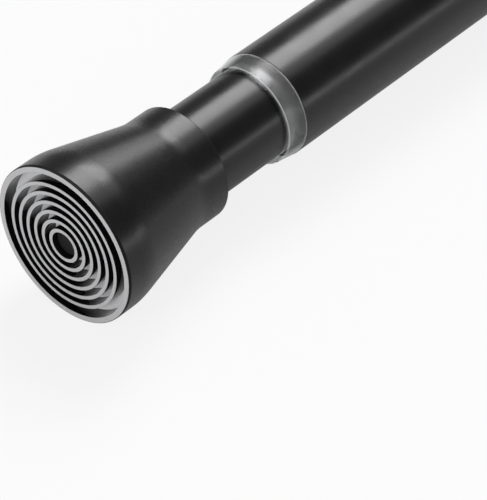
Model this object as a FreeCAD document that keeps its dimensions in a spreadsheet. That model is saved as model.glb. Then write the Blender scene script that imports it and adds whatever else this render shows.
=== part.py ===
import FreeCAD, Part
import os
import re
import Sketcher

# Spring tension rod: two telescoping tubes, flared wall caps, a spring and a twist lock.
# The rod lies along X. The outer tube's wall face is at X = 0 and the inner tube's wall face
# at X = -total_length. Each piece starts at its own X = 0 and is then placed along the rod.

# Driving dimensions, in millimetres and degrees
DIMENSIONS = {
    # Whole rod, closed up
    "total_length": 400.0,
    "stroke_reserve": 2.7,
    # Tubes
    "outer_tube_diameter": 22.2,
    "tube_wall": 0.6,
    # Flared end caps
    "cap_face_diameter": 32.52,
    "cap_skirt": 5.87,
    "cap_taper_angle": 13.0,
    "cap_neck_length": 6.6,
    "cap_neck_wall": 2.34,
    "cap_shoulder_round": 17.0,
    "cap_neck_round": 13.0,
    "cap_rear_round": 0.12,
    "cap_web": 3.4,
    "cap_boss_recess": 1.25,
    "socket_chamfer": 0.25,
    # Ring tread pads
    "pad_floor": 1.7,
    "pad_step": 0.03,
    "pad_flange": 0.6,
    "pad_plug_wall": 0.5,
    "pad_plug_draft": 0.2,
    "pad_edge_round": 0.15,
    "tread_depth": 2.9,
    "tread_rim": 1.24,
    "first_ring_radius": 3.15,
    "ring_pitch": 1.925,
    "ring_width": 0.78,
    # Clear guide collar
    "collar_flange": 4.6,
    "collar_wall": 0.91,
    "collar_nose_wall": 0.86,
    "collar_step": 0.05,
    "collar_nose_round": 0.35,
    "collar_back_round": 0.22,
    "collar_bore_chamfer": 0.25,
    "collar_spigot": 45.0,
    # Clearances
    "running_clearance": 0.08,
    "thread_clearance": 0.05,
    "ring_clearance": 0.04,
    "side_clearance": 0.3,
    "end_clearance": 1.0,
    # Spring and its seat
    "spring_length": 62.0,
    "spring_stroke": 16.0,
    "spring_wire": 1.8,
    "spring_side_gap": 1.0,
    "spring_turns": 10.0,
    "seat_length": 12.0,
    "seat_pin_diameter": 2.5,
    "pilot_length": 6.0,
    "thrust_washer_thickness": 1.2,
    # Plunger and its cross pin
    "plunger_lead": 14.0,
    "plunger_flange": 3.5,
    "cross_pin_diameter": 3.2,
    "slot_land": 9.2,
    # Lock screw, washer and clip
    "screw_diameter": 8.0,
    "screw_socket": 12.0,
    "screw_end_chamfer": 0.6,
    "screw_tail": 1.5,
    "clip_groove_depth": 0.8,
    "clip_thickness": 1.0,
    "clip_rim": 3.0,
    "clip_opening": 5.0,
    "stop_washer_thickness": 1.2,
    "stop_washer_rim": 3.5,
    # Expander sleeve and friction rings
    "sleeve_length": 30.0,
    "sleeve_slot_width": 2.4,
    "sleeve_band": 2.9,
    "friction_ring_section": 1.8,
    "friction_ring_first": 3.6,
    "friction_ring_spacing": 4.6,
    # Wedge nut
    "wedge_angle": 8.0,
    "nut_length": 16.0,
    "nut_cone_length": 10.5,
    "nut_nose_wall": 2.9,
    "nut_flange_step": 0.8,
    "nut_key_setback": 4.0,
    "nut_draw_in": 1.9,
    "nut_gap": 0.12,
    "taper_relief": 1.5,
}

# Sizes and places worked out from the driving dimensions, as formulas.
# A start, tip or end is an X along the rod; a radius, bore or seat is measured from its axis.
DERIVED = {
    # Tubes, one inside the other with the collar's wall between them
    "outer_radius": "outer_tube_diameter / 2",
    "outer_bore": "outer_radius - tube_wall",
    "collar_bore": "outer_bore - collar_wall",
    "inner_radius": "collar_bore - running_clearance",
    "inner_bore": "inner_radius - tube_wall",
    # Caps and pads
    "cap_radius": "cap_face_diameter / 2",
    "inner_neck": "inner_radius + cap_neck_wall",
    "outer_neck": "outer_radius + cap_neck_wall",
    "inner_cone_end": "cap_skirt + (cap_radius - inner_neck) / tan(cap_taper_angle)",
    "outer_cone_end": "cap_skirt + (cap_radius - outer_neck) / tan(cap_taper_angle)",
    "cap_length": "inner_cone_end + cap_neck_length",
    "pad_depth": "tread_depth + pad_floor",
    "pad_radius": "cap_radius - pad_step",
    "rim_inner_radius": "pad_radius - tread_rim",
    "pad_hole": "first_ring_radius - ring_width / 2",
    "cap_boss_radius": "pad_hole - running_clearance",
    "plug_radius": "rim_inner_radius + pad_plug_wall",
    "plug_back_radius": "plug_radius - pad_plug_draft",
    "socket_floor": "pad_depth + cap_web",
    # Collar
    "collar_nose": "collar_bore + collar_nose_wall",
    "collar_back": "outer_radius - collar_step",
    "collar_length": "collar_flange + collar_spigot",
    # Lock, stacked forward from the far cap's web
    "outer_tube_end": "-socket_floor",
    "screw_tip": "outer_tube_end - end_clearance",
    "clip_start": "screw_tip - screw_tail - clip_thickness",
    "stop_washer_start": "clip_start - stop_washer_thickness",
    "nut_start": "stop_washer_start - side_clearance - nut_length",
    "sleeve_end": "nut_start + nut_cone_length - nut_draw_in - side_clearance",
    "sleeve_start": "sleeve_end - sleeve_length",
    "plunger_end": "sleeve_start - side_clearance",
    "plunger_shoulder": "plunger_end - plunger_flange",
    "screw_start": "plunger_end - screw_socket",
    # Spring, stacked forward from the plunger, and the inner tube around it
    "inner_tube_end": "plunger_shoulder - side_clearance - spring_stroke",
    "slot_half": "(cross_pin_diameter / 2 + running_clearance)",
    "cross_pin_place": "inner_tube_end - slot_land - slot_half",
    "slot_front": "cross_pin_place - spring_stroke - side_clearance",
    "plunger_face": "cross_pin_place - plunger_lead",
    "plunger_start": "plunger_face - pilot_length",
    "thrust_washer_start": "plunger_face - thrust_washer_thickness",
    "spring_start": "thrust_washer_start - spring_length",
    "seat_start": "spring_start - seat_length",
    "seat_pin_place": "seat_start + seat_length / 2",
    "pin_reach": "inner_radius - tube_wall / 2",
    "guide_radius": "inner_bore - running_clearance",
    "flange_radius": "outer_bore - side_clearance",
    "spring_mean": "inner_bore - spring_side_gap - spring_wire / 2",
    "pilot_radius": "spring_mean - spring_wire / 2 - running_clearance",
    # Visible end
    "inner_face": "-total_length",
    "inner_tube_start": "inner_face + socket_floor",
    "collar_start": "inner_face + cap_length + spring_stroke + stroke_reserve",
    "outer_tube_start": "collar_start + collar_flange",
    # Screw, sleeve and nut
    "screw_radius": "screw_diameter / 2",
    "groove_radius": "screw_radius - clip_groove_depth",
    "sleeve_radius": "outer_bore - running_clearance",
    "sleeve_bore": "screw_radius + side_clearance",
    "ring_outer": "outer_bore - ring_clearance",
    "ring_mean": "ring_outer - friction_ring_section / 2",
    "ring_seat": "ring_outer - friction_ring_section",
    "ring_seat_half": "(friction_ring_section / 2 + thread_clearance)",
    "slots_start": "friction_ring_first + friction_ring_spacing + ring_seat_half + sleeve_band",
    "nut_bore": "screw_radius + thread_clearance",
    "nut_nose": "screw_radius + nut_nose_wall",
    "nut_back": "nut_nose + nut_cone_length * tan(wedge_angle)",
    "nut_flange_radius": "sleeve_radius - nut_flange_step",
    "key_half": "(sleeve_slot_width / 2 - side_clearance / 2)",
    # The sleeve's taper runs along the drawn-in nut's cone, a small gap outside it
    "taper_start": "sleeve_length - nut_cone_length - taper_relief",
    "sleeve_mouth": "nut_nose + (nut_cone_length - side_clearance) * tan(wedge_angle) + nut_gap",
    "sleeve_throat": "sleeve_mouth - (nut_cone_length + taper_relief) * tan(wedge_angle)",
}


def bound(formula):
    """Write a formula of plain names as an expression on the sheet's cells."""
    def cell(match):
        word = match.group(0)
        if word in DIMENSIONS:
            return "Sizes." + word
        if word in DERIVED:
            return "(" + bound(DERIVED[word]) + ")"
        return word
    return re.sub(r"[a-z_]+", cell, formula)


def make_sheet():
    """Put each driving dimension in a cell of its own, under its name."""
    cells = doc.addObject("Spreadsheet::Sheet", "Sizes")
    for row, (name, value) in enumerate(DIMENSIONS.items(), start=1):
        cells.set("A%d" % row, name)
        cells.set("B%d" % row, str(value))
        cells.setAlias("B%d" % row, name)
    doc.recompute()
    return cells


def size(formula):
    """The present value of a formula."""
    return float(sheet.evalExpression(bound(formula)))


def origin_feature(body, role):
    """One of the body's own origin planes or axes."""
    return next(item for item in body.Origin.OriginFeatures if item.Role == role)


def make_body(label, place):
    """An empty body at a place along the rod."""
    body = doc.addObject("PartDesign::Body", label)
    body.Label = label
    body.setExpression("Placement.Base.x", bound(place))
    return body


def make_sketch(body, name, plane="XY_Plane"):
    """A sketch on one of the body's origin planes."""
    sketch = body.newObject("Sketcher::SketchObject", name)
    sketch.AttachmentSupport = [(origin_feature(body, plane), "")]
    sketch.MapMode = "FlatFace"
    return sketch


def hold(sketch, kind, edge, end, formula):
    """Hold a point's DistanceX or DistanceY from the sketch's origin at a formula."""
    across_axis = {"DistanceX": -2, "DistanceY": -1}[kind]
    if formula == "0":
        sketch.addConstraint(Sketcher.Constraint("PointOnObject", edge, end, across_axis))
        return
    first, second = (-1, 1), (edge, end)
    if size(formula) < 0:
        first, second = second, first
        formula = "-(" + formula + ")"
    index = sketch.addConstraint(Sketcher.Constraint(kind, *first, *second, size(formula)))
    sketch.setExpression("Constraints[%d]" % index, bound(formula))


def draw_outline(sketch, points):
    """A closed outline of straight edges through (along, across) formulas."""
    corners = [FreeCAD.Vector(size(along), size(across), 0) for along, across in points]
    following = corners[1:] + corners[:1]
    edges = [sketch.addGeometry(Part.LineSegment(*ends), False) for ends in zip(corners, following)]
    for edge, next_edge in zip(edges, edges[1:] + edges[:1]):
        sketch.addConstraint(Sketcher.Constraint("Coincident", edge, 2, next_edge, 1))
    for edge, (along, across) in zip(edges, points):
        hold(sketch, "DistanceX", edge, 1, along)
        hold(sketch, "DistanceY", edge, 1, across)


def draw_circle(sketch, along, across, radius):
    """A circle about an (along, across) place."""
    centre = FreeCAD.Vector(size(along), size(across), 0)
    edge = sketch.addGeometry(Part.Circle(centre, FreeCAD.Vector(0, 0, 1), size(radius)), False)
    index = sketch.addConstraint(Sketcher.Constraint("Radius", edge, size(radius)))
    sketch.setExpression("Constraints[%d]" % index, bound(radius))
    hold(sketch, "DistanceX", edge, 3, along)
    hold(sketch, "DistanceY", edge, 3, across)


def draw_slot(sketch, front, back, half):
    """A round-ended slot along the rod, between two centres on the axis."""
    upper = FreeCAD.Vector(0, size(half), 0)
    places = [FreeCAD.Vector(size(front), 0, 0), FreeCAD.Vector(size(back), 0, 0)]
    top = sketch.addGeometry(Part.LineSegment(places[1] + upper, places[0] + upper), False)
    bottom = sketch.addGeometry(Part.LineSegment(places[0] - upper, places[1] - upper), False)
    outward = FreeCAD.Vector(size(half), 0, 0)
    ends = []
    for centre, mid in ((places[0], places[0] - outward), (places[1], places[1] + outward)):
        side = upper if mid.x < centre.x else -upper
        arc = Part.Arc(centre + side, mid, centre - side)
        ends.append(sketch.addGeometry(arc, False))
    for first, second in ((top, ends[0]), (ends[0], bottom), (bottom, ends[1]), (ends[1], top)):
        sketch.addConstraint(Sketcher.Constraint("Coincident", first, 2, second, 1))
    hold(sketch, "DistanceX", top, 1, back)
    hold(sketch, "DistanceX", top, 2, front)
    hold(sketch, "DistanceX", bottom, 1, front)
    hold(sketch, "DistanceX", bottom, 2, back)
    for edge, across in ((top, half), (bottom, "-" + half)):
        hold(sketch, "DistanceY", edge, 1, across)
        hold(sketch, "DistanceY", edge, 2, across)
    hold(sketch, "DistanceX", ends[0], 3, front)
    hold(sketch, "DistanceX", ends[1], 3, back)


def revolve(body, sketch, kind="Revolution"):
    """Turn a sketch fully about the rod's axis, to add (Revolution) or to cut (Groove)."""
    before = body.Tip.Shape.Volume if kind == "Groove" else 0.0
    feature = body.newObject("PartDesign::" + kind, kind)
    feature.Profile = sketch
    feature.ReferenceAxis = (sketch, ["H_Axis"])
    feature.Angle = 360
    doc.recompute()
    if kind == "Groove" and feature.Shape.Volume >= before:
        raise RuntimeError("a groove in %s takes nothing" % body.Label)


def turned_body(label, place, points):
    """A body turned about the rod's axis from an outline of (along, radius) formulas."""
    body = make_body(label, place)
    profile = make_sketch(body, "Profile")
    draw_outline(profile, points)
    revolve(body, profile)
    return body


def ring_outline(length, outside, inside):
    """The section of a plain tube or washer."""
    return [("0", inside), (length, inside), (length, outside), ("0", outside)]


def dress_edge(body, kind, along, radius, amount):
    """Fillet or Chamfer the circular edge at a place along the body and a radius."""
    tip = body.Tip
    centre = FreeCAD.Vector(size(along), 0, 0)
    names = []
    for number, edge in enumerate(tip.Shape.Edges, start=1):
        curve = edge.Curve
        if not isinstance(curve, Part.Circle):
            continue
        if abs(curve.Radius - size(radius)) < 1e-4 and curve.Center.distanceToPoint(centre) < 1e-4:
            names.append("Edge%d" % number)
    if not names:
        raise RuntimeError("%s has no edge at %s, %s" % (body.Label, along, radius))
    feature = body.newObject("PartDesign::" + kind, kind)
    feature.Base = (tip, names)
    feature.setExpression({"Fillet": "Radius", "Chamfer": "Size"}[kind], bound(amount))
    doc.recompute()


def cut_through(body, sketch):
    """Pocket a sketch right through the body, both ways, and see that it takes material."""
    before = body.Tip.Shape.Volume
    pocket = body.newObject("PartDesign::Pocket", "Through_cut")
    pocket.Profile = sketch
    pocket.SideType = "Symmetric"
    pocket.Type = "ThroughAll"
    doc.recompute()
    if pocket.Shape.Volume >= before:
        raise RuntimeError("a cut in %s takes nothing" % body.Label)
    return pocket


def drill_across(body, place, radius):
    """A round hole right across the rod, along Y."""
    hole = make_sketch(body, "Cross_hole", "XZ_Plane")
    draw_circle(hole, place, "0", radius)
    cut_through(body, hole)


def pad_both_ways(body, sketch, length):
    """Pad a sketch by half a length to each side of its plane."""
    pad = body.newObject("PartDesign::Pad", "Pad")
    pad.Profile = sketch
    pad.SideType = "Symmetric"
    pad.setExpression("Length", bound(length))
    doc.recompute()


def face_other_way(body):
    """Turn a piece end for end, so that it grows towards -X."""
    body.Placement.Rotation = FreeCAD.Rotation(FreeCAD.Vector(0, 0, 1), 180)
    return body


def make_grip_pad(label, place):
    """Rubber plug with a flange over the cap's edge, a hole in its middle and a tread of rings."""
    body = turned_body(label, place, [
        ("0", "pad_hole"),
        ("pad_depth", "pad_hole"),
        ("pad_depth", "plug_back_radius"),
        ("pad_flange", "plug_radius"),
        ("pad_flange", "pad_radius"),
        ("0", "pad_radius"),
    ])
    # As many rings as leave at least a full groove inside the rim
    rings_room = size("rim_inner_radius - first_ring_radius + ring_width / 2 - ring_pitch")
    ring_count = 1 + int(rings_room / size("ring_pitch"))
    grooves = make_sketch(body, "Tread_grooves")
    for ring in range(ring_count):
        inside = "first_ring_radius + %d * ring_pitch + ring_width / 2" % ring
        outside = "first_ring_radius + %d * ring_pitch - ring_width / 2" % (ring + 1)
        if ring == ring_count - 1:
            outside = "rim_inner_radius"
        draw_outline(grooves, ring_outline("tread_depth", outside, inside))
    revolve(body, grooves, "Groove")
    dress_edge(body, "Fillet", "0", "pad_radius", "pad_edge_round")
    return body


def make_end_cap(label, place, tube_radius, neck, cone_end):
    """Flared cap: skirt, cone and neck outside; pad mouth, boss, web and tube socket inside."""
    body = turned_body(label, place, [
        ("cap_boss_recess", "0"),
        ("socket_floor", "0"),
        ("socket_floor", tube_radius),
        ("cap_length", tube_radius),
        ("cap_length", neck),
        (cone_end, neck),
        ("cap_skirt", "cap_radius"),
        ("pad_flange", "cap_radius"),
        ("pad_flange", "plug_radius"),
        ("pad_depth", "plug_back_radius"),
        ("pad_depth", "cap_boss_radius"),
        ("cap_boss_recess", "cap_boss_radius"),
    ])
    dress_edge(body, "Fillet", "cap_skirt", "cap_radius", "cap_shoulder_round")
    dress_edge(body, "Fillet", cone_end, neck, "cap_neck_round")
    dress_edge(body, "Fillet", "cap_length", neck, "cap_rear_round")
    dress_edge(body, "Chamfer", "cap_length", tube_radius, "socket_chamfer")
    return body


def make_outer_tube():
    """Plain tube from the collar to the far cap's socket floor."""
    length = "outer_tube_end - outer_tube_start"
    return turned_body("outer_tube", "outer_tube_start",
                       ring_outline(length, "outer_radius", "outer_bore"))


def make_clear_collar():
    """Clear bush: a tapered nose ahead of the outer tube and a spigot inside it."""
    body = turned_body("clear_collar", "collar_start", [
        ("0", "collar_bore"),
        ("collar_length", "collar_bore"),
        ("collar_length", "outer_bore"),
        ("collar_flange", "outer_bore"),
        ("collar_flange", "collar_back"),
        ("0", "collar_nose"),
    ])
    dress_edge(body, "Fillet", "0", "collar_nose", "collar_nose_round")
    dress_edge(body, "Fillet", "collar_flange", "collar_back", "collar_back_round")
    dress_edge(body, "Chamfer", "0", "collar_bore", "collar_bore_chamfer")
    return body


def make_inner_tube():
    """Tube with two opposite slots for the cross pin and a cross hole for the seat's pin."""
    length = "inner_tube_end - inner_tube_start"
    body = turned_body("inner_tube", "inner_tube_start",
                       ring_outline(length, "inner_radius", "inner_bore"))
    slots = make_sketch(body, "Pin_slots", "XZ_Plane")
    draw_slot(slots, "slot_front - inner_tube_start", "cross_pin_place - inner_tube_start", "slot_half")
    cut_through(body, slots)
    drill_across(body, "seat_pin_place - inner_tube_start", "seat_pin_diameter / 2")
    return body


def make_spring_seat():
    """Plug across the inner tube with a pilot for the spring."""
    body = turned_body("spring_seat", "seat_start", [
        ("0", "0"),
        ("seat_length + pilot_length", "0"),
        ("seat_length + pilot_length", "pilot_radius"),
        ("seat_length", "pilot_radius"),
        ("seat_length", "inner_bore"),
        ("0", "inner_bore"),
    ])
    drill_across(body, "seat_length / 2", "seat_pin_diameter / 2")
    return body


def make_plunger():
    """Slider in the inner tube: spring pilot, guide, flange, screw socket and cross hole."""
    end = "plunger_end - plunger_start"
    shoulder = "plunger_shoulder - plunger_start"
    socket = "screw_start - plunger_start"
    body = turned_body("plunger", "plunger_start", [
        ("0", "0"),
        (socket, "0"),
        (socket, "screw_radius"),
        (end, "screw_radius"),
        (end, "flange_radius"),
        (shoulder, "flange_radius"),
        (shoulder, "guide_radius"),
        ("pilot_length", "guide_radius"),
        ("pilot_length", "pilot_radius"),
        ("0", "pilot_radius"),
    ])
    drill_across(body, "cross_pin_place - plunger_start", "cross_pin_diameter / 2")
    return body


def make_pin_across(label, place, diameter):
    """Round pin across the rod, along Y, that ends within the inner tube's wall."""
    body = make_body(label, place)
    section = make_sketch(body, "Section", "XZ_Plane")
    draw_circle(section, "0", "0", diameter + " / 2")
    pad_both_ways(body, section, "2 * pin_reach")
    return body


def make_compression_spring():
    """Coil spring with its ends ground flat."""
    body = make_body("compression_spring", "spring_start")
    wire = make_sketch(body, "Wire")
    draw_circle(wire, "0", "spring_mean", "spring_wire / 2")
    coil = body.newObject("PartDesign::AdditiveHelix", "Coil")
    coil.Profile = wire
    coil.ReferenceAxis = (wire, ["H_Axis"])
    coil.Mode = "height-turns-angle"
    coil.setExpression("Height", bound("spring_length"))
    coil.setExpression("Turns", bound("spring_turns"))
    doc.recompute()
    for near, far in (("-spring_wire", "0"), ("spring_length", "spring_length + spring_wire")):
        ground = make_sketch(body, "Ground_end")
        draw_outline(ground, [
            (near, "spring_mean - spring_wire"),
            (far, "spring_mean - spring_wire"),
            (far, "spring_mean + spring_wire"),
            (near, "spring_mean + spring_wire"),
        ])
        revolve(body, ground, "Groove")
    return body


def make_lock_screw():
    """Stud with a clip groove near its chamfered tip."""
    tip = "screw_tip - screw_start"
    groove_front = "clip_start - screw_start"
    groove_back = "clip_start + clip_thickness - screw_start"
    body = turned_body("lock_screw", "screw_start", [
        ("0", "0"),
        (tip, "0"),
        (tip, "screw_radius"),
        (groove_back, "screw_radius"),
        (groove_back, "groove_radius"),
        (groove_front, "groove_radius"),
        (groove_front, "screw_radius"),
        ("0", "screw_radius"),
    ])
    dress_edge(body, "Chamfer", tip, "screw_radius", "screw_end_chamfer")
    return body


def make_thrust_washer():
    """Washer on the plunger's pilot, between it and the spring."""
    return turned_body("thrust_washer", "thrust_washer_start",
                       ring_outline("thrust_washer_thickness", "guide_radius", "pilot_radius"))


def make_stop_washer():
    """Washer on the screw, between the nut and the clip."""
    rim = "screw_radius + stop_washer_rim"
    return turned_body("stop_washer", "stop_washer_start",
                       ring_outline("stop_washer_thickness", rim, "screw_radius"))


def make_retaining_clip():
    """Open ring that snaps into the screw's groove."""
    rim = "groove_radius + clip_rim"
    body = turned_body("retaining_clip", "clip_start",
                       ring_outline("clip_thickness", rim, "groove_radius"))
    opening = make_sketch(body, "Opening", "YZ_Plane")
    draw_outline(opening, [
        ("-clip_opening / 2", "0"),
        ("clip_opening / 2", "0"),
        ("clip_opening / 2", rim),
        ("-clip_opening / 2", rim),
    ])
    cut_through(body, opening)
    return body


def make_expander_sleeve():
    """Split sleeve: two ring grooves in front, a tapered mouth and four slots behind."""
    body = turned_body("expander_sleeve", "sleeve_start", [
        ("0", "sleeve_bore"),
        ("taper_start", "sleeve_bore"),
        ("taper_start", "sleeve_throat"),
        ("sleeve_length", "sleeve_mouth"),
        ("sleeve_length", "sleeve_radius"),
        ("0", "sleeve_radius"),
    ])
    seats = make_sketch(body, "Ring_seats")
    for number in range(2):
        middle = "friction_ring_first + %d * friction_ring_spacing" % number
        draw_outline(seats, [
            (middle + " - ring_seat_half", "ring_seat"),
            (middle + " + ring_seat_half", "ring_seat"),
            (middle + " + ring_seat_half", "outer_radius"),
            (middle + " - ring_seat_half", "outer_radius"),
        ])
    revolve(body, seats, "Groove")
    slot = make_sketch(body, "Slot", "XZ_Plane")
    past_end = "sleeve_length + sleeve_slot_width"
    draw_outline(slot, [
        ("slots_start", "sleeve_slot_width / 2"),
        (past_end, "sleeve_slot_width / 2"),
        (past_end, "-sleeve_slot_width / 2"),
        ("slots_start", "-sleeve_slot_width / 2"),
    ])
    crossed = body.newObject("PartDesign::PolarPattern", "Crossed_slots")
    crossed.Originals = [cut_through(body, slot)]
    crossed.Axis = (origin_feature(body, "X_Axis"), [""])
    crossed.Angle = 180
    crossed.Occurrences = 2
    body.Tip = crossed
    doc.recompute()
    return body


def make_friction_ring(label, number):
    """Round rubber ring in a groove of the sleeve."""
    body = make_body(label, "sleeve_start + friction_ring_first + %d * friction_ring_spacing" % number)
    section = make_sketch(body, "Section")
    draw_circle(section, "0", "ring_mean", "friction_ring_section / 2")
    revolve(body, section)
    return body


def make_wedge_nut():
    """Cone nut with a flange behind and two keys that run in the sleeve's slots."""
    body = turned_body("wedge_nut", "nut_start", [
        ("0", "nut_bore"),
        ("nut_length", "nut_bore"),
        ("nut_length", "nut_flange_radius"),
        ("nut_cone_length", "nut_flange_radius"),
        ("nut_cone_length", "nut_back"),
        ("0", "nut_nose"),
    ])
    keys = make_sketch(body, "Keys", "XZ_Plane")
    draw_outline(keys, [
        ("nut_key_setback", "key_half"),
        ("nut_cone_length", "key_half"),
        ("nut_cone_length", "-key_half"),
        ("nut_key_setback", "-key_half"),
    ])
    pad_both_ways(body, keys, "2 * nut_flange_radius")
    bore = make_sketch(body, "Bore", "YZ_Plane")
    draw_circle(bore, "0", "0", "nut_bore")
    cut_through(body, bore)
    return body


doc = FreeCAD.newDocument("tension_rod")
sheet = make_sheet()

pieces = [
    make_outer_tube(),
    make_clear_collar(),
    face_other_way(make_end_cap("outer_end_cap", "0", "outer_radius", "outer_neck", "outer_cone_end")),
    face_other_way(make_grip_pad("outer_grip_pad", "0")),
    make_inner_tube(),
    make_end_cap("inner_end_cap", "inner_face", "inner_radius", "inner_neck", "inner_cone_end"),
    make_grip_pad("inner_grip_pad", "inner_face"),
    make_spring_seat(),
    make_pin_across("seat_pin", "seat_pin_place", "seat_pin_diameter"),
    make_compression_spring(),
    make_thrust_washer(),
    make_plunger(),
    make_pin_across("cross_pin", "cross_pin_place", "cross_pin_diameter"),
    make_lock_screw(),
    make_stop_washer(),
    make_retaining_clip(),
    make_expander_sleeve(),
    make_friction_ring("friction_ring_front", 0),
    make_friction_ring("friction_ring_rear", 1),
    make_wedge_nut(),
]

doc.recompute()
for item in doc.Objects:
    if "Invalid" in item.State or "Error" in item.State:
        raise RuntimeError("%s did not build: %s" % (item.Label, item.State))
for piece in pieces:
    if piece.Shape.isNull() or not piece.Shape.isValid() or len(piece.Shape.Solids) != 1:
        raise RuntimeError("%s has no sound solid" % piece.Label)

os.makedirs("parts", exist_ok=True)
for piece in pieces:
    piece.Shape.exportStep("parts/%s.step" % piece.Label)
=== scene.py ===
import math

import bpy
import numpy as np
from bpy.props import (
    FloatProperty,
    FloatVectorProperty,
    IntProperty,
    PointerProperty,
)
from bpy.types import Operator, Panel, PropertyGroup
from mathutils import Matrix, Vector


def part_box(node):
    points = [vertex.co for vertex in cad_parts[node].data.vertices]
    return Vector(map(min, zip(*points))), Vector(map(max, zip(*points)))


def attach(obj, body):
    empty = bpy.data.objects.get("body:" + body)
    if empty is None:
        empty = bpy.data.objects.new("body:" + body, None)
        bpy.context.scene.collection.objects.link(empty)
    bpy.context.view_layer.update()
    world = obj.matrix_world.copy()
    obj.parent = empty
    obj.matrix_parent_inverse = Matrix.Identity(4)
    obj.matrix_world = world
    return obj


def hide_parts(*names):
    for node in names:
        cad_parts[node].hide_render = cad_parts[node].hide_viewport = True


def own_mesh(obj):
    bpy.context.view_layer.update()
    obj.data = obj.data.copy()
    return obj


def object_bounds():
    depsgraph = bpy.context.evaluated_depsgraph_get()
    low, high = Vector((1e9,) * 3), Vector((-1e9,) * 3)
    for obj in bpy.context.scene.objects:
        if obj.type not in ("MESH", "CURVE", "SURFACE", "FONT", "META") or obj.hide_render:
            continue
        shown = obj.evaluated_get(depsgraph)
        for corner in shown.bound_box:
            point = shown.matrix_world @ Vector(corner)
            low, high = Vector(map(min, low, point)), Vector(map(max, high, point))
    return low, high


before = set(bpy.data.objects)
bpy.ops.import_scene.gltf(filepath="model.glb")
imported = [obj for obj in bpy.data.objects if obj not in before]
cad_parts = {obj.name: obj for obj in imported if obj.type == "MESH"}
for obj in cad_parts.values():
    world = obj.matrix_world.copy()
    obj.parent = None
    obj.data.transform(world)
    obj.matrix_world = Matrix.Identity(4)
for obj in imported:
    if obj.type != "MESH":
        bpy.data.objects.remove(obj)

bl_info = {
    "name": "Spring Tension Rod",
    "version": (1, 0, 0),
    "blender": (4, 5, 0),
    "location": "View3D > Sidebar > Tension Rod",
    "description": "Dresses a telescoping rod: tubes, clear collar, flared caps, ring tread pads and lock",
    "category": "Object",
}

MM = 0.001
ROUND_STEPS = 5
FINE_ROUND_STEPS = 9
# The frame's own box, taken before any piece is added
BARE_FRAME_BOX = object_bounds()


def size_value(label, millimetres, note):
    """A length that a user may change, given in millimetres and kept in metres."""
    return FloatProperty(
        name=label, description=note, default=millimetres * MM, min=0.0,
        precision=5, unit="LENGTH",
    )


def colour_value(label, colour, note):
    """A linear colour that a user may change."""
    return FloatVectorProperty(
        name=label, description=note, default=colour, size=3, min=0.0, max=1.0, subtype="COLOR",
    )


def share_value(label, share, note):
    """A number from nothing to one that a user may change."""
    return FloatProperty(
        name=label, description=note, default=share, min=0.0, max=1.0, subtype="FACTOR",
    )


def power_value(label, watts, note):
    """A lamp's power that a user may change, in watts."""
    return FloatProperty(name=label, description=note, default=watts, min=0.0, unit="POWER")


def index_value(label, index, note):
    """An index of refraction that a user may change."""
    return FloatProperty(name=label, description=note, default=index, min=1.0)


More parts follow.
